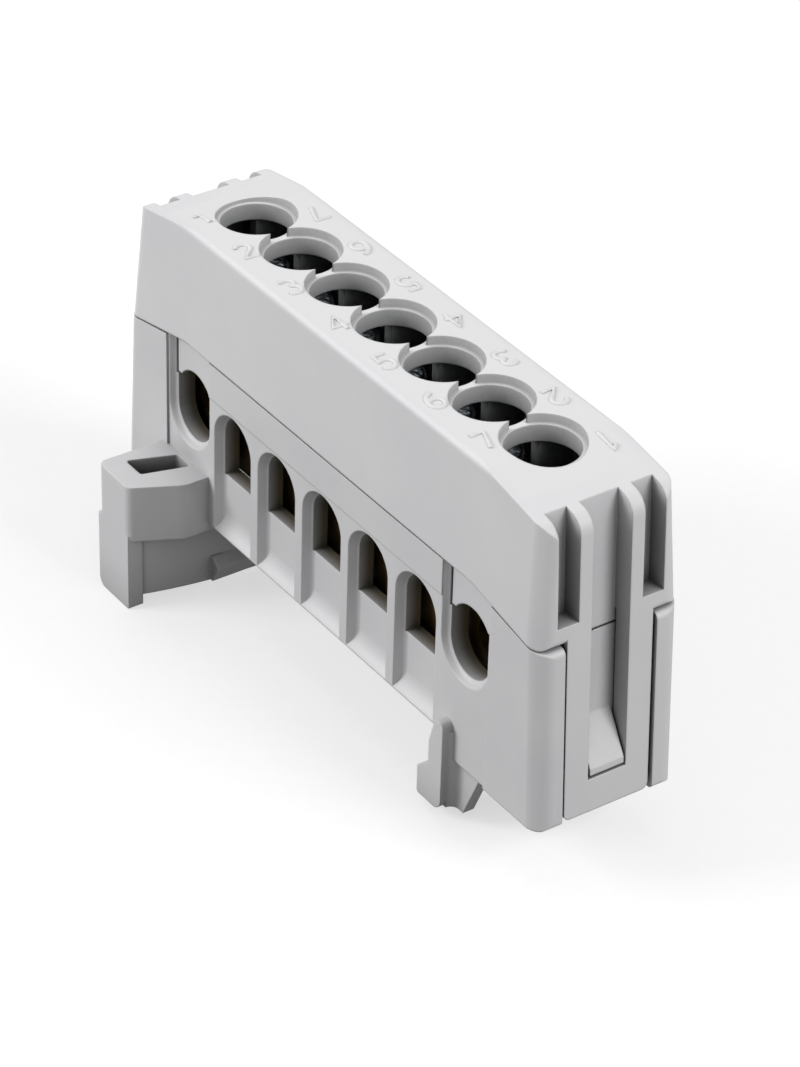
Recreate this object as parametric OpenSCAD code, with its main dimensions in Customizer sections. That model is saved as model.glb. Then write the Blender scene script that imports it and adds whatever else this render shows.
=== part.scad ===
// Seven-way power distribution block: a one-piece grey base with wire-entry bays and a
// clip for 35 mm top-hat rail, a clip-on cover, a drilled brass bar and seven clamp screws.
// Millimetres. X runs along the row of ways, Y across it, Z up. The origin is the middle
// of the footprint, at the level of the clip's lowest points.

/* [Row of ways] */
// Distance between neighbouring clamp screws
pitch = 7; // [6.8:0.1:8]
// Distance from the last screw to the end of the block
end_margin = 9.9; // [9.7:0.1:12]

/* [Heights] */
// Depth of the clip's hooks below the underside of the base
clip_h = 8.1; // [7.8:0.1:9.4]
// Height of the base from its underside to the seam
base_h = 17.1; // [16.8:0.1:19]
// Height of the cover from the seam to the deck
cover_h = 10.9; // [10:0.1:13]
// How far the ends of the base reach below its underside
end_drop = 1.9; // [1:0.1:2.2]
// How far the end posts of the base stand out past the cover's end faces
post_proud = 0.2; // [0.1:0.1:0.8]
// How far the deck falls towards each end
end_fall = 1.55; // [0.8:0.05:2]
// How far the seam falls towards each end
seam_fall = 1.8; // [0.8:0.05:2.2]
// Angle by which both ends lean out towards the rail, in degrees
end_draft = 3; // [1:0.2:4.4]
// Height of the wire holes above the underside of the base
wire_h = 9.8; // [9.4:0.1:10.4]

/* [Widths] */
// Width of the deck
deck_w = 12.8; // [12.4:0.1:13.6]
// Width of the cover at the seam
seam_w = 14.1; // [13.9:0.1:14.6]
// Width of the base across its end blocks
end_w = 14.2; // [14.1:0.1:15]
// Width of the base across its ribs
rib_w = 13.8; // [13.6:0.1:14]
// Width of the cavity that holds the bar
cavity_w = 9.2; // [8.8:0.1:10]

/* [Cover] */
// Thickness of the deck
deck_t = 2.4; // [1.8:0.1:3]
// Inside width of the cover
cover_inside_w = 11.2; // [10.8:0.1:11.8]
// Radius along the long edges of the deck
deck_edge_r = 0.5; // [0.3:0.1:1]
// Radius of the upright corners
corner_r = 1.7; // [1:0.1:2.4]
// Radius of the shoulders at the top of the end ribs
shoulder_r = 1.8; // [1:0.1:3]
// Diameter of the screwdriver holes
access_d = 6.4; // [6.1:0.1:6.6]
// Diameter of the counterbores round the screwdriver holes
counterbore_d = 7.2; // [6.8:0.1:7.6]
// Depth of the counterbores
counterbore_depth = 0.8; // [0.4:0.1:1.4]
// Thickness of the webs between the screws
web_t = 1; // [0.6:0.1:1.2]
// Gap between the two webs of a pair
web_gap = 3.8; // [3:0.1:5]

/* [Snap frames] */
// Depth of the end ribs and of the frames
frame_t = 2; // [1.6:0.1:2.4]
// Width of the window in a frame
window_w = 3.8; // [3:0.1:4.3]
// Width over the two legs of a frame
frame_w = 8.5; // [8:0.1:8.9]
// How far a frame reaches below the underside of the base
frame_drop = 1.7; // [1.4:0.1:3]
// Height of the crossbar of a frame
crossbar_h = 3.2; // [2:0.1:4]
// Width of the inner end ribs
end_rib_t = 1.25; // [0.8:0.05:1.5]
// Width of the outer recesses in the end faces
recess_w = 2.1; // [1.5:0.1:2.3]
// Solid height under the outer recesses
recess_foot = 1.8; // [1:0.1:2.8]
// Height of the ramp of the catch on the base
catch_ramp = 4.6; // [3:0.1:7]
// Length of the tab of the cover's end wall that hangs behind a frame
end_tab_l = 0.9; // [0.4:0.1:1.4]
// Height of the lip of the catch
catch_lip = 0.6; // [0.3:0.1:1]

/* [Wire entries] */
// Width of the five middle entries
entry_w = 4.9; // [4.8:0.1:5.2]
// Width of the channels round the middle entries
channel_w = 5.9; // [5.7:0.1:6.2]
// Depth of the channels
channel_depth = 0.9; // [0.5:0.05:1.2]
// Height of the sills below the wire holes
sill_drop = 4; // [3.4:0.1:4.4]
// Height of the arch centres above the wire holes
arch_rise = 0.35; // [0:0.05:0.6]
// Radius of the scoop at the foot of each channel
scoop_r = 2.2; // [1.6:0.1:3]
// Width of the two outer entries
outer_entry_w = 5.5; // [5.2:0.1:5.8]
// Width of the pockets round the outer entries
pocket_w = 6.6; // [6.4:0.1:6.8]
// Depth of the pockets
pocket_depth = 0.6; // [0.4:0.05:0.9]
// Length of the cover's tongues below the seam
tongue_l = 4.4; // [3.8:0.1:4.8]
// Thickness of the tongues
tongue_t = 1.4; // [1:0.1:1.6]
// Height of the arch cut in a tongue above the wire holes
tongue_arch = 4.05; // [3.6:0.05:4.4]

/* [Bar and screws] */
// Width of the bar
bar_w = 8; // [7.2:0.1:8.4]
// Height of the bar
bar_h = 10; // [9:0.1:10.6]
// Height of the wire holes above the bottom of the bar
bar_hole_h = 4.7; // [4:0.1:5]
// Length of bar beyond the last hole
bar_overhang = 3.5; // [3:0.1:4]
// Diameter of the wire holes
wire_d = 4.2; // [3.8:0.1:4.3]
// Thread diameter of the clamp screws
thread_d = 5; // [4:0.1:5.2]
// Radial clearance of a screw in its hole
thread_clearance = 0.05; // [0.02:0.01:0.08]
// Diameter of the screw heads
head_d = 5.8; // [5.5:0.1:6]
// Height of the screw heads
head_h = 3; // [2.4:0.1:3.4]
// Depth of the heads below the deck with the clamps open
head_depth = 4.8; // [4.4:0.1:5.2]
// Depth of the tapped holes below the middle of the wire holes
thread_reach = 2.6; // [2.5:0.1:3.2]
// Clearance between an open screw's tip and the wire hole
tip_gap = 0.2; // [0.1:0.1:0.6]
// Width of the screwdriver slot
slot_w = 0.9; // [0.6:0.1:1.2]
// Depth of the screwdriver slot
slot_depth = 1.2; // [0.8:0.1:1.6]

/* [Rail clip] */
// Distance from the bow to the point of the feet
rail_w = 35.2; // [34.8:0.1:35.6]
// Middle of the rail measured from the middle of the block, towards the bow
rail_offset = 1.2; // [0.6:0.1:1.8]
// Distance between the outer faces of the two legs
leg_span = 27.8; // [26:0.1:30]
// Thickness of the legs
leg_t = 1.5; // [1.2:0.1:2]
// Width of the legs along the block
leg_w = 5; // [4:0.1:5.6]
// Thickness of the bow
bow_t = 1.3; // [1:0.1:1.8]
// How far the bow curves between the legs and its middle
bow_rise = 1.7; // [1:0.1:2.2]
// Height of the bow's lower edge above the ends of the legs
bow_lift = 0.9; // [0.3:0.1:1.4]
// Height of the ear loops
ear_h = 5.7; // [4.6:0.1:6.4]
// How far the ear loops hang below the underside of the base
ear_drop = 0.8; // [0.3:0.1:1]
// Length of the catch on the bow
bow_catch_l = 11.8; // [8:0.1:13]
// Height of the feet above the ends of the legs
foot_lift = 1; // [0:0.1:1.6]
// Width of the fin of a foot
fin_w = 1.5; // [1.2:0.1:2]
// How far the fin stands out from the ribs
fin_proud = 1; // [0.6:0.1:1.4]
// Reach of the foot's barb in front of the fin
barb = 1.9; // [1.2:0.1:2.2]
// Thickness of the plate behind the fin
foot_plate_t = 1.1; // [0.8:0.1:1.6]
// Radius of the fillet between the fin and the plate
foot_fillet_r = 0.8; // [0.4:0.1:1.2]

/* [Fits] */
// Gap between the cover and the base
fit = 0.2; // [0.1:0.05:0.25]
// Gap between a snap frame and the posts beside it
slot_fit = 0.3; // [0.15:0.05:0.35]

/* [Hidden] */
$fn = 48;
GREY = [0.78, 0.79, 0.8];
BRASS = [0.78, 0.64, 0.34];
ZINC = [0.72, 0.74, 0.76];
// Overshoot of a cut past a face, and of an added piece into what carries it
over = 1;

// Stations along the row
ways = 7;
x_last = (ways - 1) / 2 * pitch;
x_end = x_last + end_margin;
x_wall = x_end - frame_t;
x_post = x_end + post_proud;
bend_past = 0.7;
x_bend = x_last + bend_past;
end_face_margin = 3.5;
x_end_face = x_last + end_face_margin;
end_wall_t = 1.9;
end_tab_t = 1.2;
x_cavity = x_wall - end_wall_t;
x_middle = x_last - pocket_w / 2;
x_bar = x_last + bar_overhang;

// Levels
z_under = clip_h;
z_end_under = z_under - end_drop;
z_seam = z_under + base_h;
z_deck = z_seam + cover_h;
z_ceiling = z_deck - deck_t;
z_wire = z_under + wire_h;
z_arch = z_wire + arch_rise;
z_sill = z_wire - sill_drop;
z_bar = z_wire - bar_hole_h;
z_head = z_deck - head_depth - head_h;
z_tip = z_wire + wire_d / 2 + tip_gap;
z_ear = z_under - ear_drop;
z_frame = z_under - frame_drop;

// Cover
draft = atan((seam_w - deck_w) / 2 / cover_h);
end_corner_r = 0.6;
bend_r = 8;
web_end_gap = 0.3;
tongue_w = outer_entry_w;
tangent_gap = 0.01;
frame_corner_r = 0.6;

// Base
base_top = z_seam - fit;
end_bottom_r = 0.5;
lip_h = 1;
lip_outer = cover_inside_w / 2 - fit;
strip_proud = 0.1;
strip_gap = 0.3;
cradle_t = 1.2;
cradle_lift = 0.4;
ledge_l = 2;
ledge_t = 1.5;
bar_end_gap = 0.2;
stop_t = 1.2;
stop_h = 6;
slot_half = frame_w / 2 + slot_fit;
catch_half = window_w / 2 - fit;
z_catch_lip = z_frame + crossbar_h + fit;
channel_floor_w = entry_w;
pocket_floor_w = tongue_w + 2 * fit;
fillet_r = 0.45;
fillet_steps = 4;
scoop_lip = 0.15;

// Rail clip
x_rail = -rail_offset;
x_bow = x_rail - rail_w / 2;
x_barb = x_rail + rail_w / 2;
x_fin = x_barb + barb;
bow_reach = leg_span / 2 - leg_t;
bow_r = (bow_reach * bow_reach + bow_rise * bow_rise) / 2 / bow_rise;
leg_set_in = 0.3;
x_leg = x_bow - bow_rise + leg_set_in;
ear_slant = 2.3;
ear_slant_y = 4.6;
ear_wall = 2.2;
ear_side_t = 1.1;
ear_front_t = 1.3;
ear_corner_r = 0.8;
ear_bend_r = 2;
ear_hole_gap = 0.4;
ear_hole_near = 0.1;
ear_hole_far = 2.3;
ear_hole_r = 0.3;
leg_corner_r = 1;
leg_edge_r = 0.2;
z_ledge_root = 5.1;
z_ledge_tip = 3.8;
z_fin_straight = 7.3;
bow_catch_back = 0.15;
bow_catch_foot = 0.1;
bow_catch_out = 0.9;
bow_catch_edge = 0.3;
bow_catch_root = 3.2;
bow_catch_tip = 2.5;
foot_plate_l = 4.1;
foot_plate_slant = 1.2;
foot_plate_inset = 0.4;
fin_rise = 3.8;
fin_lean = 0.4;
foot_corner_r = 1;
foot_toe_r = 0.3;
fin_top_r = 0.5;
fin_step_r = 1;
barb_r = 0.2;
plate_lift = 0.2;

// Screws
tip_bevel = 0.6;
head_edge_r = 0.5;

// Where a leaning end plane that stands at x at the seam is at level z
function lean_x(x, z) = x + (z_seam - z) * tan(end_draft);
function unit(v) = v / norm(v);
function middle_x(i) = (i - ways / 2) * pitch;
function way_x(i) = (i - (ways + 1) / 2) * pitch;

// Outline with true arcs at its corners: points run anticlockwise, one radius a point
module rounded(points, radii) {
    n = len(points);
    difference() {
        union() {
            polygon(points);
            for (i = [0 : n - 1])
                if (radii[i] > 0 && turn(points, i) < 0)
                    corner_piece(points, i, radii[i], 0);
        }
        for (i = [0 : n - 1])
            if (radii[i] > 0 && turn(points, i) > 0)
                corner_piece(points, i, radii[i], over);
    }
}

// Points of the arc that rounds corner q on the way from p to s
function fillet(p, q, s, r) =
    let(a = unit(p - q), b = unit(s - q), half = acos(a * b) / 2, centre = q + unit(a + b) * r / sin(half),
        first = q + a * r / tan(half) - centre, start = atan2(first[1], first[0]),
        sweep = sign(cross(b, a)) * (180 - 2 * half))
    [for (k = [0 : fillet_steps]) centre + r * [cos(start + sweep * k / fillet_steps), sin(start + sweep * k / fillet_steps)]];

function before(points, i) = points[(i + len(points) - 1) % len(points)];
function after(points, i) = points[(i + 1) % len(points)];
function turn(points, i) = cross(points[i] - before(points, i), after(points, i) - points[i]);

// What lies between a corner and the arc that rounds it, widened outwards by margin
module corner_piece(points, i, r, margin) {
    corner = points[i];
    a = unit(before(points, i) - corner);
    b = unit(after(points, i) - corner);
    half = acos(a * b) / 2;
    inward = unit(a + b);
    reach = r / tan(half);
    out_a = -unit(b - (a * b) * a);
    out_b = -unit(a - (a * b) * b);
    difference() {
        polygon([corner + a * reach,
                 corner + a * reach + out_a * margin,
                 corner - inward * margin / sin(half),
                 corner + b * reach + out_b * margin,
                 corner + b * reach]);
        translate(corner + inward * r / sin(half)) circle(r);
    }
}

// Side outline extruded across the block, and cross-section extruded along it
module across(width) {
    rotate([90, 0, 0]) linear_extrude(width, center = true) children();
}
module along(length) {
    rotate([90, 0, 90]) linear_extrude(length, center = true) children();
}
// Block between two corners
module block(low, high) {
    translate(low) cube(high - low);
}
// Copies on both long sides, and at both ends
module both_sides() {
    children();
    mirror([0, 1, 0]) children();
}
module both_ends() {
    children();
    mirror([1, 0, 0]) children();
}

// Leans children out with the end plane that stands at x at the seam; their own x starts there
module lean(x) {
    translate([x, 0, z_seam]) rotate([0, -end_draft, 0]) translate([0, 0, -z_seam]) children();
}
// What rounds one upright corner, where a leaning end plane meets a side
module corner_cut(x, half_w, side_draft) {
    translate([x, half_w, z_seam]) rotate([side_draft, -end_draft, 0]) linear_extrude(2 * z_deck, center = true)
        translate([-corner_r, -corner_r + tangent_gap]) difference() {
            square(corner_r + over);
            circle(corner_r);
        }
}

// ---- Cover ----
module cover_outline() {
    low = z_seam - seam_fall;
    shoulder = [lean_x(x_end, z_deck - end_fall), z_deck - end_fall];
    corner = [lean_x(x_end, low), low];
    bend = fillet(shoulder, [x_bend, z_deck], [-x_bend, z_deck], bend_r);
    other_bend = [for (k = [fillet_steps : -1 : 0]) [-bend[k][0], bend[k][1]]];
    straight = [for (k = [0 : fillet_steps]) 0];
    rounded(concat([[-corner[0], low], [-x_bend, z_seam], [x_bend, z_seam], corner,
                    shoulder], bend, other_bend, [[-shoulder[0], shoulder[1]]]),
            concat([end_corner_r, 0, 0, end_corner_r, shoulder_r], straight, straight, [shoulder_r]));
}

module cover_section() {
    foot = seam_w / 2 + seam_fall * tan(draft);
    rounded([[-foot, z_seam - seam_fall], [foot, z_seam - seam_fall],
             [deck_w / 2, z_deck], [-deck_w / 2, z_deck]],
            [0, 0, deck_edge_r, deck_edge_r]);
}

module end_recess_cuts() {
    rib = window_w / 2 + end_rib_t;
    low = z_seam - seam_fall;
    deep = frame_t + over;
    lean(x_wall) {
        block([0, -window_w / 2, low - over], [deep, window_w / 2, z_deck + over]);
        both_sides() block([0, rib, low + recess_foot], [deep, rib + recess_w, z_deck + over]);
    }
}

// U-shaped frame that hangs down from the end face and snaps over the base's catch
module snap_frame() {
    plate_t = frame_t - fit;
    lean(x_end) difference() {
        translate([-plate_t, 0, 0]) rotate([90, 0, 90]) linear_extrude(plate_t)
            rounded([[-frame_w / 2, z_frame], [frame_w / 2, z_frame],
                     [frame_w / 2, z_seam], [-frame_w / 2, z_seam]],
                    [frame_corner_r, frame_corner_r, 0, 0]);
        block([-frame_t, -window_w / 2, z_frame + crossbar_h], [over, window_w / 2, z_seam + over]);
    }
}

// Tab of the end wall that hangs behind a frame
module end_tab() {
    tab = frame_w / 2;
    lean(x_wall) block([-end_tab_t, -tab, z_seam - seam_fall - end_tab_l], [0, tab, z_seam]);
}

// Tab that closes the top of an outer wire entry and forms its arch
module tongue() {
    face = rib_w / 2 - pocket_depth;
    difference() {
        block([x_last - tongue_w / 2, -face, z_seam - tongue_l],
              [x_last + tongue_w / 2, -face + tongue_t, z_seam + over]);
        translate([x_last, 0, z_wire + tongue_arch - outer_entry_w / 2]) rotate([90, 0, 0])
            cylinder(d = outer_entry_w, h = rib_w);
    }
}

module cover() {
    color(GREY) {
        difference() {
            intersection() {
                across(seam_w + 2 * over) cover_outline();
                along(2 * x_end + 2 * over) cover_section();
            }
            both_ends() both_sides() corner_cut(x_end, seam_w / 2, draft);
            block([-x_cavity, -cover_inside_w / 2, z_seam - seam_fall - over],
                  [x_cavity, cover_inside_w / 2, z_ceiling]);
            both_ends() end_recess_cuts();
            for (i = [1 : ways]) translate([way_x(i), 0, 0]) {
                translate([0, 0, z_ceiling - over]) cylinder(d = access_d, h = deck_t + 2 * over);
                translate([0, 0, z_deck - counterbore_depth])
                    cylinder(d = counterbore_d, h = counterbore_depth + over);
            }
        }
        for (i = [0 : ways]) both_sides()
            block([middle_x(i) - web_t / 2, web_gap / 2, z_seam + lip_h + web_end_gap],
                  [middle_x(i) + web_t / 2, cover_inside_w / 2 + over / 2, z_ceiling + over / 2]);
        both_ends() snap_frame();
        both_ends() end_tab();
        both_ends() both_sides() tongue();
    }
}

// ---- Base ----
module base_outline() {
    x_step = x_fin - fin_lean;
    z_end_top = base_top - seam_fall;
    x_foot = lean_x(x_post, z_end_under);
    x_top = lean_x(x_post, z_end_top);
    rounded([[-x_foot, z_end_under], [x_leg, z_end_under], [x_leg, z_under], [x_step, z_under],
             [x_step, z_end_under], [x_foot, z_end_under], [x_top, z_end_top],
             [x_bend, base_top], [-x_bend, base_top], [-x_top, z_end_top]],
            [end_bottom_r, 0, 0, 0, 0, end_bottom_r, end_corner_r, 0, 0, end_corner_r]);
}

module base_blank() {
    x_far = lean_x(x_post, 0) + over;
    intersection() {
        across(rib_w) base_outline();
        block([-x_end_face - over, -rib_w / 2, 0], [x_end_face + over, rib_w / 2, z_deck]);
    }
    difference() {
        intersection() {
            across(end_w) base_outline();
            both_ends() block([x_end_face, -end_w / 2, 0], [x_far, end_w / 2, z_deck]);
        }
        both_ends() both_sides() corner_cut(x_post, end_w / 2, 0);
    }
    strip_low = z_arch + channel_w / 2 + strip_gap;
    block([-x_middle, -rib_w / 2 - strip_proud, strip_low], [x_middle, rib_w / 2 + strip_proud, base_top]);
    both_sides() block([-x_middle, -lip_outer, base_top - over], [x_middle, -cavity_w / 2, z_seam + lip_h]);
}

// Half of the cross-section of a recess: from its axis to its filleted wall
module recess_half(top_w, floor_w, depth) {
    polygon(concat([[0, -over], [top_w / 2, -over], [top_w / 2, 0]],
                   fillet([top_w / 2, 0], [floor_w / 2, depth], [0, depth], fillet_r),
                   [[0, depth]]));
}
// Round end of a recess
module recess_dish(top_w, floor_w, depth) {
    rotate([-90, 0, 0]) rotate_extrude() recess_half(top_w, floor_w, depth);
}
// Straight run of a recess
module recess_run(top_w, floor_w, depth, height) {
    linear_extrude(height) {
        recess_half(top_w, floor_w, depth);
        mirror([1, 0]) recess_half(top_w, floor_w, depth);
    }
}

// Channel round a middle entry: arched at the top, scooped out at its foot
module channel_cut() {
    scoop_in = scoop_r - channel_depth;
    z_scoop = z_under + scoop_lip + sqrt(scoop_r * scoop_r - scoop_in * scoop_in);
    translate([0, -rib_w / 2, 0]) {
        translate([0, 0, z_arch]) recess_dish(channel_w, channel_floor_w, channel_depth);
        translate([0, 0, z_scoop]) recess_run(channel_w, channel_floor_w, channel_depth, z_arch - z_scoop);
        intersection() {
            translate([0, 0, z_under]) recess_run(channel_w, channel_floor_w, channel_depth, z_scoop - z_under + over / 2);
            translate([0, -scoop_in, z_scoop]) rotate([0, 90, 0])
                cylinder(r = scoop_r, h = 2 * channel_w, center = true);
        }
    }
}

// Pocket round an outer entry: open to the seam, round at its foot
module pocket_cut() {
    translate([0, -rib_w / 2, z_wire]) {
        recess_dish(pocket_w, pocket_floor_w, pocket_depth);
        recess_run(pocket_w, pocket_floor_w, pocket_depth, z_seam - z_wire);
    }
}

module middle_entry_cut() {
    across(rib_w + 2 * over) {
        translate([0, z_arch]) circle(d = entry_w);
        translate([-entry_w / 2, z_sill]) square([entry_w, z_arch - z_sill]);
    }
}

module outer_entry_cut() {
    notch_w = tongue_w + 2 * fit;
    notch_low = z_seam - tongue_l - fit;
    across(rib_w + 2 * over) {
        translate([0, z_wire]) circle(d = outer_entry_w);
        translate([-outer_entry_w / 2, z_wire]) square([outer_entry_w, notch_low - z_wire + fit]);
        translate([-notch_w / 2, notch_low]) square([notch_w, z_deck - notch_low]);
    }
}

// Slot between the end posts for a frame of the cover, and the notch above it for the tab
module frame_slot() {
    lean(x_wall) {
        block([0, -slot_half, -over], [frame_t + post_proud + over, slot_half, z_deck]);
        block([-end_tab_t - fit, -slot_half, base_top - seam_fall - end_tab_l], [over, slot_half, z_deck]);
    }
}

// Ramp on the end wall that a frame of the cover snaps over
module frame_catch() {
    top = z_catch_lip + catch_ramp;
    lean(x_wall) across(2 * catch_half) polygon([
        [-over / 2, z_catch_lip], [frame_t, z_catch_lip], [frame_t, z_catch_lip + catch_lip],
        [0, top], [-over / 2, top]]);
}

// Seats for the bar: four cradles between the ways, and a ledge with a stop at each end
module bar_seats() {
    for (i = [2 : ways - 2])
        block([middle_x(i) - cradle_t / 2, -cavity_w / 2 - over / 2, z_under + cradle_lift],
              [middle_x(i) + cradle_t / 2, cavity_w / 2 + over / 2, z_bar]);
    stop_x = x_bar + bar_end_gap;
    both_ends() {
        block([x_bar - ledge_l, -cavity_w / 2 - over / 2, z_bar - ledge_t],
              [stop_x + stop_t, cavity_w / 2 + over / 2, z_bar]);
        block([stop_x, -cavity_w / 2 - over / 2, z_bar - over / 2],
              [stop_x + stop_t, cavity_w / 2 + over / 2, z_bar + stop_h]);
    }
}

// Ear: a slanted loop beside the bay, open from above for a screwdriver's tip
module ear_loop() {
    y_out = -leg_span / 2;
    y_in = -rib_w / 2 + over;
    x_out = x_leg - leg_w;
    x_in = x_leg + ear_slant;
    hole_out = y_out + ear_wall;
    hole_in = -rib_w / 2 - ear_hole_gap;
    translate([0, 0, z_ear]) linear_extrude(ear_h) difference() {
        rounded([[x_out, y_out], [x_leg, y_out], [x_in, y_out + ear_slant_y], [x_in, y_in], [x_out, y_in]],
                [ear_corner_r, ear_corner_r, ear_bend_r, 0, 0]);
        rounded([[x_out + ear_side_t, hole_out], [x_leg - ear_front_t, hole_out],
                 [x_leg - ear_hole_near, hole_in], [x_leg - ear_hole_far, hole_in]],
                [ear_hole_r, ear_hole_r, ear_hole_r, ear_hole_r]);
    }
}

// Leg under the ear's outer wall; the bow spans between the two legs
module leg() {
    x_out = x_leg - leg_w;
    y_out = -leg_span / 2;
    translate([0, y_out + leg_t / 2, 0]) across(leg_t)
        rounded([[x_out, 0], [x_leg, 0], [x_leg, z_ear + over / 2], [x_out, z_ear + over / 2]],
                [leg_corner_r, leg_edge_r, 0, 0]);
}

module bow() {
    z_low = bow_lift;
    translate([x_bow - bow_r, 0, z_low]) intersection() {
        difference() {
            cylinder(r = bow_r, h = z_under + over / 2 - z_low, $fn = 180);
            translate([0, 0, -over]) cylinder(r = bow_r - bow_t, h = z_under + 3 * over, $fn = 180);
        }
        block([0, -bow_reach - over / 2, 0], [bow_r + over, bow_reach + over / 2, z_under + over]);
    }
    z_root = bow_catch_root + bow_catch_edge;
    translate([x_bow - bow_catch_back, 0, 0]) across(bow_catch_l) polygon([
        [-over / 2, z_low], [bow_catch_foot, z_low], [bow_catch_out, bow_catch_tip],
        [bow_catch_out, bow_catch_tip + bow_catch_edge], [0, z_root], [-over / 2, z_root]]);
}

// Foot: a proud fin with a barb that points towards the bow, and a plate set back behind it
module foot() {
    y_fin = -rib_w / 2 - fin_proud;
    y_plate = -rib_w / 2 + foot_plate_inset;
    y_back = y_plate + foot_plate_t;
    x_fin_end = x_fin + fin_w;
    z_plate = foot_lift + plate_lift;
    translate([0, (y_fin + y_back) / 2, 0]) across(y_back - y_fin)
        rounded([[x_barb, foot_lift], [x_fin_end, foot_lift], [x_fin_end, z_end_under + fin_rise],
                 [x_fin + fin_lean, z_end_under + fin_rise], [x_fin - fin_lean, z_fin_straight],
                 [x_fin - fin_lean, z_ledge_root], [x_barb, z_ledge_tip]],
                [foot_toe_r, foot_corner_r, fin_top_r, fin_top_r, fin_step_r, 0, barb_r]);
    translate([0, y_plate + foot_plate_t / 2, 0]) across(foot_plate_t)
        polygon([[x_fin, z_plate], [x_fin + foot_plate_l - foot_plate_slant, z_plate],
                 [x_fin + foot_plate_l + foot_plate_slant, z_end_under + over / 2], [x_fin, z_end_under + over / 2]]);
    translate([x_fin_end - over / 2, y_plate + over / 2, z_plate])
        linear_extrude(z_end_under + fin_rise - foot_corner_r - z_plate) difference() {
            translate([0, -foot_fillet_r - over / 2]) square([foot_fillet_r + over / 2, foot_fillet_r + over / 2]);
            translate([foot_fillet_r + over / 2, -foot_fillet_r - over / 2]) circle(foot_fillet_r);
        }
}

module base() {
    color(GREY) {
        difference() {
            base_blank();
            block([-x_cavity, -cavity_w / 2, 0], [x_cavity, cavity_w / 2, z_deck]);
            both_ends() frame_slot();
            both_sides() for (i = [2 : ways - 1]) translate([way_x(i), 0, 0]) channel_cut();
            for (i = [2 : ways - 1]) translate([way_x(i), 0, 0]) middle_entry_cut();
            both_ends() both_sides() translate([x_last, 0, 0]) pocket_cut();
            both_ends() translate([x_last, 0, 0]) outer_entry_cut();
        }
        both_ends() frame_catch();
        bar_seats();
        both_sides() ear_loop();
        both_sides() leg();
        bow();
        both_sides() foot();
    }
}

// ---- Inner parts ----
module terminal_bar() {
    color(BRASS) difference() {
        block([-x_bar, -bar_w / 2, z_bar], [x_bar, bar_w / 2, z_bar + bar_h]);
        for (i = [1 : ways]) translate([way_x(i), 0, z_wire]) {
            rotate([90, 0, 0]) cylinder(d = wire_d, h = bar_w + 2 * over, center = true);
            translate([0, 0, -thread_reach]) cylinder(d = thread_d + 2 * thread_clearance, h = bar_h);
        }
    }
}

module clamp_screw(i) {
    color(ZINC) translate([way_x(i), 0, z_head]) difference() {
        rotate_extrude() rounded([[0, z_tip - z_head], [thread_d / 2 - tip_bevel, z_tip - z_head],
                                  [thread_d / 2, z_tip - z_head + tip_bevel], [thread_d / 2, 0],
                                  [head_d / 2, 0], [head_d / 2, head_h], [0, head_h]],
                                 [0, 0, 0, 0, 0, head_edge_r, 0]);
        translate([-head_d, -slot_w / 2, head_h - slot_depth]) cube([2 * head_d, slot_w, slot_depth + over]);
    }
}

cover();
base();
terminal_bar();
clamp_screw(1);  // clamp_screw_1
clamp_screw(2);  // clamp_screw_2
clamp_screw(3);  // clamp_screw_3
clamp_screw(4);  // clamp_screw_4
clamp_screw(5);  // clamp_screw_5
clamp_screw(6);  // clamp_screw_6
clamp_screw(7);  // clamp_screw_7
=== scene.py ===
"""Looks of the seven-way power distribution block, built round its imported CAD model."""
import math

import bpy
from mathutils import Euler, Matrix, Vector


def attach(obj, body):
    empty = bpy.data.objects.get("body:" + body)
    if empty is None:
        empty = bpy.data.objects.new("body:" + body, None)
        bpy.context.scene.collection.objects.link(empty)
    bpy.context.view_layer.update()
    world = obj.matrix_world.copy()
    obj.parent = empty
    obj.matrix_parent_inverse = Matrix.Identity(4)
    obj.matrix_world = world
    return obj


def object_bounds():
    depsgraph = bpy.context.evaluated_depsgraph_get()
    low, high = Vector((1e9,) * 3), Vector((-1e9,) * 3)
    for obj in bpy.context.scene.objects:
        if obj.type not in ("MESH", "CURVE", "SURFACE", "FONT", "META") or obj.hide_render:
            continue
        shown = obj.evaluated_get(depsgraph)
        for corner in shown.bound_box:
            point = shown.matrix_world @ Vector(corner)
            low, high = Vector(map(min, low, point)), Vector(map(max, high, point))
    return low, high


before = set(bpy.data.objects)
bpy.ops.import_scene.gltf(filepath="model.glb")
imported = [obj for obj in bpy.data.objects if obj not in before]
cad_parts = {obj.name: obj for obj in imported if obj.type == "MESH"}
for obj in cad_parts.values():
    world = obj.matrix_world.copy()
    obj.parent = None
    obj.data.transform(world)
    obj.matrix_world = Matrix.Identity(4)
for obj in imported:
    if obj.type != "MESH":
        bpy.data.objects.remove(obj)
cad_low, cad_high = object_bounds()

# ---- Housing base ----
# The base is one moulding with its rail clip, in light grey glass-filled polyamide.
# The mould's cavity is spark-eroded, which leaves a fine, even satin grain, and the
# glass fibres show as a faint cloudiness.
MM = 0.001
# Numbers of a Mix node's two colour inputs and of its colour output
MIX_FROM, MIX_TO, MIXED = 6, 7, 2


def linear(hex_colour):
    """Linear RGBA of an sRGB hex colour."""
    channels = [int(hex_colour[i:i + 2], 16) / 255 for i in (1, 3, 5)]
    return [c / 12.92 if c <= 0.04045 else ((c + 0.055) / 1.055) ** 2.4 for c in channels] + [1]


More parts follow.
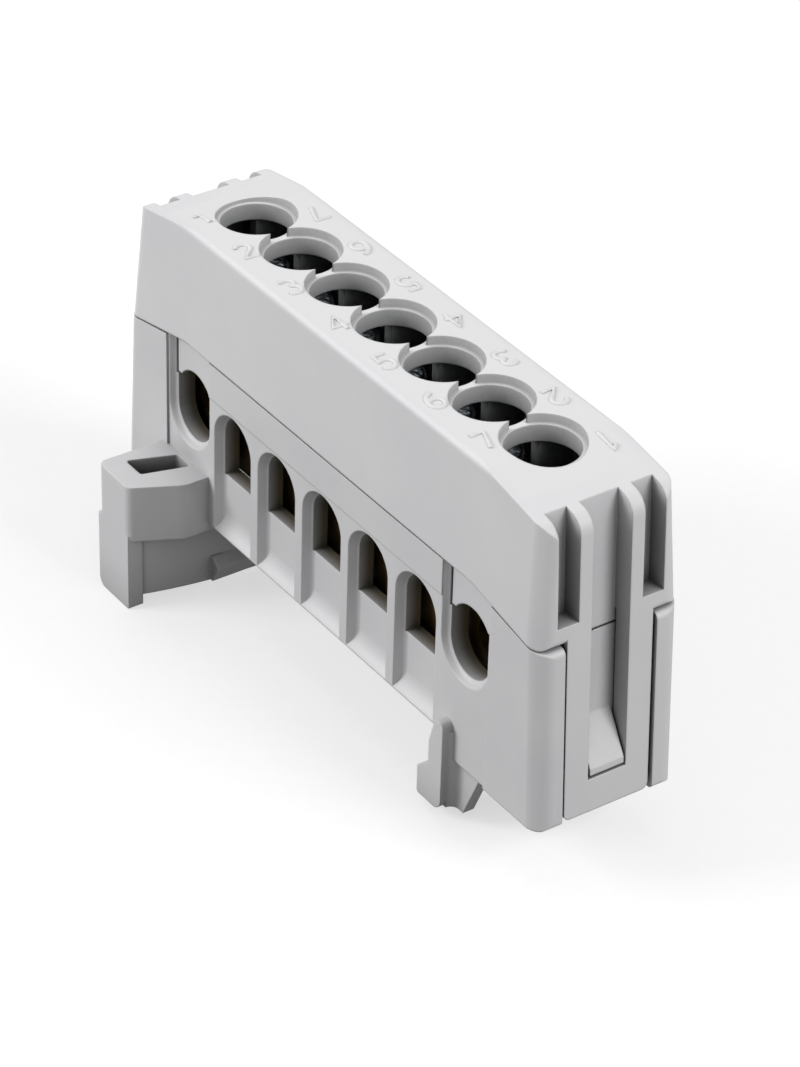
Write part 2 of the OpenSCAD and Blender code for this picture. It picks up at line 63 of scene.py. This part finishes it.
def add(tree, kind, settings=None, **links):
    """Adds a node. Settings are its properties and inputs, by name or number, and an input's
    setting may be a socket to link it to. Links are linked inputs whose names are words."""
    node = tree.nodes.new(kind)
    for name, value in (settings or {}).items():
        if isinstance(value, bpy.types.NodeSocket):
            tree.links.new(value, node.inputs[name])
        elif isinstance(name, str) and hasattr(node, name):
            setattr(node, name, value)
        else:
            node.inputs[name].default_value = value
    for name, source in links.items():
        tree.links.new(source, node.inputs[name.replace("_", " ")])
    return node


def new_material(name):
    """An empty material and its tree."""
    material = bpy.data.materials.new(name)
    material.use_nodes = True
    material.node_tree.nodes.clear()
    return material, material.node_tree


def maths(tree, operation, *terms):
    """The result of a Math node on one or two terms, each a socket or a number."""
    return add(tree, "ShaderNodeMath", {"operation": operation, **dict(enumerate(terms))}).outputs["Value"]


def noise(tree, place, size, detail):
    """Cloudy noise from 0 to 1 whose clouds are about as wide as size."""
    return add(tree, "ShaderNodeTexNoise", {"Scale": 1 / size, "Detail": detail}, Vector=place).outputs["Fac"]


def rise(tree, source, start, end, low=0.0, high=1.0):
    """Goes from low to high while the source goes from start to end, and stays level outside."""
    levels = {"From Min": start, "From Max": end, "To Min": low, "To Max": high}
    return add(tree, "ShaderNodeMapRange", levels, Value=source).outputs["Result"]


def two_shades(tree, source, first, second, start=0.0, end=1.0):
    """Goes from the first colour to the second while the source goes from start to end."""
    shades = add(tree, "ShaderNodeValToRGB", Fac=source)
    low, high = shades.color_ramp.elements
    low.position, low.color = start, linear(first)
    high.position, high.color = end, linear(second)
    return shades.outputs["Color"]


def with_painted_shade(tree, colour, reach, start, end, least=0.0):
    """The colour with painted shade: down to its least share where walls within reach shelter the surface."""
    shelter = add(tree, "ShaderNodeAmbientOcclusion", {"samples": 8, "Distance": reach})
    share = rise(tree, shelter.outputs["AO"], start, end, least)
    return add(tree, "ShaderNodeVectorMath", {"operation": "SCALE", 0: colour}, Scale=share).outputs["Vector"]


def inside_housing(tree, place, start, full):
    """Masks the painted shade inside the housing: rises from one distance to a smaller one off the middle
    plane, inside the row only.
    """
    cavity_half = 26 * MM
    cavity_floor = 9 * MM
    fade = 0.5 * MM
    spot = add(tree, "ShaderNodeSeparateXYZ", Vector=place).outputs
    between_sides = rise(tree, maths(tree, "ABSOLUTE", spot["Y"]), start, full, high=0.9)
    between_ends = rise(tree, maths(tree, "ABSOLUTE", spot["X"]), cavity_half + 2 * fade, cavity_half)
    above_rail = rise(tree, spot["Z"], cavity_floor - fade, cavity_floor)
    enclosed = maths(tree, "MULTIPLY", between_ends, above_rail)
    return maths(tree, "MULTIPLY", between_sides, enclosed)


def moulded_polyamide(name, shade, cloud_shade, edge_highlight, inner_shade, inside_start, inside_full):
    """Satin injection-moulded polyamide: cloudy colour, spark-eroded grain, softened edges with a painted
    highlight, and painted shade.
    """
    cloud_size = 9 * MM
    grain_size = 0.16 * MM
    edge_radius = 0.22 * MM
    recess_reach = 10 * MM
    material, tree = new_material(name)
    place = add(tree, "ShaderNodeTexCoord").outputs["Object"]
    cloud = noise(tree, place, cloud_size, 4.0)
    clouded = two_shades(tree, cloud, cloud_shade, shade, start=0.38, end=0.62)
    # Edges get a painted highlight, a little warmer and lighter than the faces
    soft = add(tree, "ShaderNodeBevel", {"samples": 6, "Radius": edge_radius}).outputs["Normal"]
    flat = add(tree, "ShaderNodeNewGeometry").outputs["Normal"]
    turned = add(tree, "ShaderNodeVectorMath", {"operation": "DOT_PRODUCT", 0: soft, 1: flat})
    edge = rise(tree, turned.outputs["Value"], 0.995, 0.8, high=0.6)
    edge_lit = add(tree, "ShaderNodeMix", {"data_type": "RGBA", MIX_FROM: clouded, MIX_TO: linear(edge_highlight)},
               Factor=edge)
    # Walls inside the housing and its wire entries take the inner shade, a much darker painted shade
    shaded_inside = add(tree, "ShaderNodeMix",
                  {"data_type": "RGBA", MIX_FROM: edge_lit.outputs[MIXED], MIX_TO: linear(inner_shade)},
                  Factor=inside_housing(tree, place, inside_start, inside_full))
    # Deep recesses get painted shade: their colour is much darker where walls shelter them
    colour = with_painted_shade(tree, shaded_inside.outputs[MIXED], recess_reach, start=0.03, end=0.7)
    grain = add(tree, "ShaderNodeTexNoise", {"Scale": 1 / grain_size, "Detail": 3.0, "Roughness": 0.6},
                Vector=place)
    bump = add(tree, "ShaderNodeBump", {"Strength": 0.12, "Distance": 0.02 * MM},
               Height=grain.outputs["Fac"], Normal=soft)
    shader = add(tree, "ShaderNodeBsdfPrincipled", {"IOR": 1.53}, Base_Color=colour,
                 Roughness=rise(tree, cloud, 0, 1, low=0.42, high=0.54), Normal=bump.outputs["Normal"])
    add(tree, "ShaderNodeOutputMaterial", Surface=shader.outputs["BSDF"])
    return material


def dress(node, material):
    """Gives a CAD node's object one material."""
    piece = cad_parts[node]
    piece.data.materials.clear()
    piece.data.materials.append(material)
    return piece


# Colours: plain shade, cloud shade, painted edge highlight, and the painted shade inside the housing
base_plastic = moulded_polyamide("grey_polyamide_base", "#D1D1D2", "#CCCCCE", "#D6D4CF",
                                 "#756D57", 5.9 * MM, 5.0 * MM)
dress("base", base_plastic)

# ---- Cover ----
# The clip-on cover is a second moulding of the same grey polyamide, a shade lighter,
# with the same painted edge highlight. Inside the housing its walls take its plain shade
# instead of a darker painted shade. Its snap frames reach down over the base.
cover_plastic = moulded_polyamide("grey_polyamide_cover", "#D4D4D5", "#D0D0D2", "#D9D7D3",
                                  "#D4D4D5", 6.1 * MM, 5.3 * MM)
cover = dress("cover", cover_plastic)

# ---- Numerals ----
# The way numbers are engraved in the tool, so they stand a little proud of the deck
# as rounded strokes. One row reads from each long side of the block. Their strokes are
# drawn in millimetres and fused, then brought to metres as they are laid on the deck.
WAYS = 7
NUMERAL_H = 2.25
NUMERAL_W = 1.5
STROKE_R = 0.23
FUSING_GRID = 0.07
NUMERAL_PROUD = 0.17
PITCH = 7
FRONT_OFFSET = Vector((-2.1, -4.25))
REAR_OFFSET = Vector((2.65, 4.4))


def arc(centre, radius, start, end, steps=12):
    """Points of an arc in a numeral's unit square, angles in degrees anticlockwise."""
    spread = [math.radians(start + (end - start) * k / steps) for k in range(steps + 1)]
    return [(centre[0] + radius[0] * math.cos(a), centre[1] + radius[1] * math.sin(a)) for a in spread]


# Strokes of each numeral, in a box from 0 to 1 both ways
NUMERALS = {
    1: [[(0.25, 0.78), (0.62, 1), (0.62, 0)]],
    2: [arc((0.5, 0.72), (0.45, 0.28), 165, -35) + [(0.05, 0), (0.95, 0)]],
    3: [arc((0.48, 0.76), (0.4, 0.24), 150, -80, 10) + arc((0.48, 0.27), (0.46, 0.27), 85, -150)],
    4: [[(0.72, 0), (0.72, 1), (0.02, 0.3), (1, 0.3)]],
    5: [[(0.9, 1), (0.22, 1), (0.12, 0.53)] + arc((0.47, 0.32), (0.46, 0.32), 120, -150)],
    6: [arc((0.9, 0.33), (0.85, 0.67), 100, 172, 8) + arc((0.5, 0.3), (0.45, 0.3), 180, 540, 20)],
    7: [[(0.05, 1), (0.95, 1), (0.4, 0)]],
}


def numeral_row(name, offset, turn, order):
    """A row of numerals as one mesh, laid on the deck under it."""
    curve = bpy.data.curves.new(name, "CURVE")
    curve.dimensions = "3D"
    curve.bevel_depth = STROKE_R
    curve.bevel_resolution = 3
    curve.use_fill_caps = True
    for way, figure in enumerate(order):
        centre = Vector(((way - (WAYS - 1) / 2) * PITCH, 0)) + offset
        for stroke in NUMERALS[figure]:
            spline = curve.splines.new("POLY")
            spline.points.add(len(stroke) - 1)
            for point, (u, v) in zip(spline.points, stroke):
                flat = Vector(((u - 0.5) * NUMERAL_W, (v - 0.5) * NUMERAL_H))
                flat.rotate(Matrix.Rotation(turn, 2))
                point.co = (*(centre + flat), 0, 1)
    # The round strokes are fused into one closed skin, so that none shows inside another
    strokes = bpy.data.objects.new(name + "_strokes", curve)
    drawn = bpy.data.objects.new(name + "_drawn", bpy.data.meshes.new_from_object(strokes))
    bpy.context.scene.collection.objects.link(drawn)
    fusing = drawn.modifiers.new("fusing", "REMESH")
    fusing.mode = "VOXEL"
    fusing.voxel_size = FUSING_GRID
    fused = drawn.evaluated_get(bpy.context.evaluated_depsgraph_get())
    mesh = bpy.data.meshes.new_from_object(fused)
    mesh.name = name
    bpy.data.objects.remove(strokes)
    bpy.data.objects.remove(drawn)
    piece = bpy.data.objects.new(name, mesh)
    bpy.context.scene.collection.objects.link(piece)
    # Each stroke is flattened a little and lies half sunk in the deck
    for vertex in mesh.vertices:
        x, y = vertex.co.x * MM, vertex.co.y * MM
        hit, spot, _, _ = cover.ray_cast(Vector((x, y, cad_high[2] + MM)), Vector((0, 0, -1)))
        deck = spot.z if hit else cad_high[2]
        vertex.co = (x, y, deck + vertex.co.z / STROKE_R * NUMERAL_PROUD * MM)
    mesh.shade_smooth()
    mesh.materials.append(cover_plastic)
    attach(piece, "housing")


numeral_row("numerals_front", FRONT_OFFSET, math.radians(90), range(1, WAYS + 1))
numeral_row("numerals_rear", REAR_OFFSET, math.radians(-90), range(WAYS, 0, -1))

# ---- Terminal bar ----
# A length of drawn brass bar in the base's channel, cross-drilled for the wires and
# tapped from above. Drawing leaves fine straight lines along it, and it is tarnished
# in faint clouds. Deep in the housing it gets painted shade, much darker.
LINE_WIDTH = 0.12 * MM
LINE_LENGTH = 12 * MM
TARNISH_SIZE = 3 * MM
HOUSING_REACH = 8 * MM
bar_brass, tree = new_material("drawn_brass")
place = add(tree, "ShaderNodeTexCoord").outputs["Object"]
stretch = (1 / LINE_LENGTH, 1 / LINE_WIDTH, 1 / LINE_WIDTH)
stretched = add(tree, "ShaderNodeMapping", {"Scale": stretch}, Vector=place).outputs["Vector"]
lines = noise(tree, stretched, 1.0, 3.0)
tarnish = noise(tree, place, TARNISH_SIZE, 4.0)
brass = two_shades(tree, tarnish, "#B08D4E", "#CDAB67", start=0.35, end=0.65)
bump = add(tree, "ShaderNodeBump", {"Strength": 0.25, "Distance": 0.02 * MM}, Height=lines)
# The brass takes painted shade where the housing's walls shelter it
shader = add(tree, "ShaderNodeBsdfPrincipled", {"Metallic": 1.0},
             Base_Color=with_painted_shade(tree, brass, HOUSING_REACH, start=0, end=1, least=0.1),
             Roughness=rise(tree, lines, 0, 1, low=0.24, high=0.4), Normal=bump.outputs["Normal"])
add(tree, "ShaderNodeOutputMaterial", Surface=shader.outputs["BSDF"])
dress("terminal_bar", bar_brass)

# ---- Clamp screws ----
# Turned steel screws with a slotted cheese head, electroplated with bright zinc and
# driven into the bar from above. The plating is slightly uneven, with a cool sheen.
PLATING_SIZE = 0.7 * MM
SLOT_REACH = 1.5 * MM
screw_zinc, tree = new_material("bright_zinc_plated_steel")
place = add(tree, "ShaderNodeTexCoord").outputs["Object"]
plating = noise(tree, place, PLATING_SIZE, 3.0)
zinc = two_shades(tree, plating, "#98A2A8", "#C6CED3", start=0.35, end=0.65)
bump = add(tree, "ShaderNodeBump", {"Strength": 1.0, "Distance": 0.12 * MM}, Height=plating)
# The slot and the corner under the head get painted shade, darker where walls shelter them
shader = add(tree, "ShaderNodeBsdfPrincipled", {"Metallic": 1.0},
             Base_Color=with_painted_shade(tree, zinc, SLOT_REACH, start=0.3, end=0.9, least=0.25),
             Roughness=rise(tree, plating, 0, 1, low=0.16, high=0.3), Normal=bump.outputs["Normal"])
add(tree, "ShaderNodeOutputMaterial", Surface=shader.outputs["BSDF"])
for way in range(1, WAYS + 1):
    dress(f"clamp_screw_{way}", screw_zinc)

# ---- Floor and backdrop ----
# A plain pale studio floor, far wider than the block. To the eye it is white paper that
# keeps the block's soft shadow, and it throws only a little light back up at the block.
FLOOR_HALF = 3.0
FIBRE_SIZE = 1.5 * MM
GLOW_SHARE = 0.6
floor_mesh = bpy.data.meshes.new("studio_floor")
corners = [(-FLOOR_HALF, -FLOOR_HALF, 0), (FLOOR_HALF, -FLOOR_HALF, 0),
           (FLOOR_HALF, FLOOR_HALF, 0), (-FLOOR_HALF, FLOOR_HALF, 0)]
floor_mesh.from_pydata(corners, [], [(0, 1, 2, 3)])
floor = bpy.data.objects.new("studio_floor", floor_mesh)
bpy.context.scene.collection.objects.link(floor)


def seen_rays(tree):
    """1 for rays from the camera and those that gloss or glass sends on, else 0."""
    path = add(tree, "ShaderNodeLightPath").outputs
    sent_on = maths(tree, "MAXIMUM", path["Is Glossy Ray"], path["Is Transmission Ray"])
    return maths(tree, "MAXIMUM", path["Is Camera Ray"], sent_on)


floor_paper, tree = new_material("matt_white_paper")
seen = seen_rays(tree)
place = add(tree, "ShaderNodeTexCoord").outputs["Object"]
fibre = two_shades(tree, noise(tree, place, FIBRE_SIZE, 5.0), "#F4F4F4", "#FAFAFA")
# The paper that the block sees is darker than the paper that the eye sees
tone = add(tree, "ShaderNodeMix", {"data_type": "RGBA", MIX_FROM: linear("#585858"), MIX_TO: fibre},
           Factor=seen)
paper = add(tree, "ShaderNodeBsdfDiffuse", {"Roughness": 0.9}, Color=tone.outputs[MIXED])
glow = add(tree, "ShaderNodeEmission", {"Color": (1, 1, 1, 1), "Strength": 1.0})
mix = add(tree, "ShaderNodeMixShader", {1: paper.outputs["BSDF"], 2: glow.outputs["Emission"]},
          Fac=maths(tree, "MULTIPLY", seen, GLOW_SHARE))
add(tree, "ShaderNodeOutputMaterial", Surface=mix.outputs["Shader"])
floor_mesh.materials.append(floor_paper)

# ---- Studio light ----
# An even surround that looks white behind the block, and three large soft lamps: the main
# one at the front left, one high behind the right end, and a weak one over the left end.
# Lengths are in metres and powers in watts.
SURROUND_LEVEL = 0.45
LAMP_SIZE = 0.25
world = bpy.data.worlds.new("studio")
bpy.context.scene.world = world
world.use_nodes = True
tree = world.node_tree
tree.nodes.clear()
level = rise(tree, seen_rays(tree), 0, 1, low=SURROUND_LEVEL)
surround = add(tree, "ShaderNodeBackground", {"Color": (1, 1, 1, 1)}, Strength=level)
add(tree, "ShaderNodeOutputWorld", Surface=surround.outputs["Background"])
block_middle = Vector((0, 0, (cad_low[2] + cad_high[2]) / 2))


def soft_lamp(name, place, power):
    """A square area lamp that faces the block."""
    lamp = bpy.data.lights.new(name, "AREA")
    lamp.shape = "SQUARE"
    lamp.size = LAMP_SIZE
    lamp.energy = power
    stand = bpy.data.objects.new(name, lamp)
    bpy.context.scene.collection.objects.link(stand)
    stand.location = place
    stand.rotation_euler = (block_middle - Vector(place)).to_track_quat("-Z", "Y").to_euler()


soft_lamp("lamp_left", (-0.26, -0.45, 0.318), 2.3)
soft_lamp("lamp_behind_right", (0.462, 0.168, 0.362), 1.85)
soft_lamp("lamp_above_left", (-0.3, 0, 0.538), 0.5)

# ---- Camera ----
# A long lens looks down on the near right end of the block and its front side.
camera_data = bpy.data.cameras.new("camera")
camera_data.sensor_width = 36
camera_data.lens = 134.6
camera_data.clip_start = 0.01
camera = bpy.data.objects.new("camera", camera_data)
bpy.context.scene.collection.objects.link(camera)
camera.location = Vector((231.04, -163.04, 207.42)) * MM
aim = Vector((1.81, -0.02, 15.86)) * MM
roll = math.radians(1.75)
camera.rotation_mode = "QUATERNION"
camera.rotation_quaternion = ((aim - camera.location).to_track_quat("-Z", "Y")
                              @ Euler((0, 0, roll)).to_quaternion())
bpy.context.scene.camera = camera
bpy.context.scene.view_settings.view_transform = "Standard"
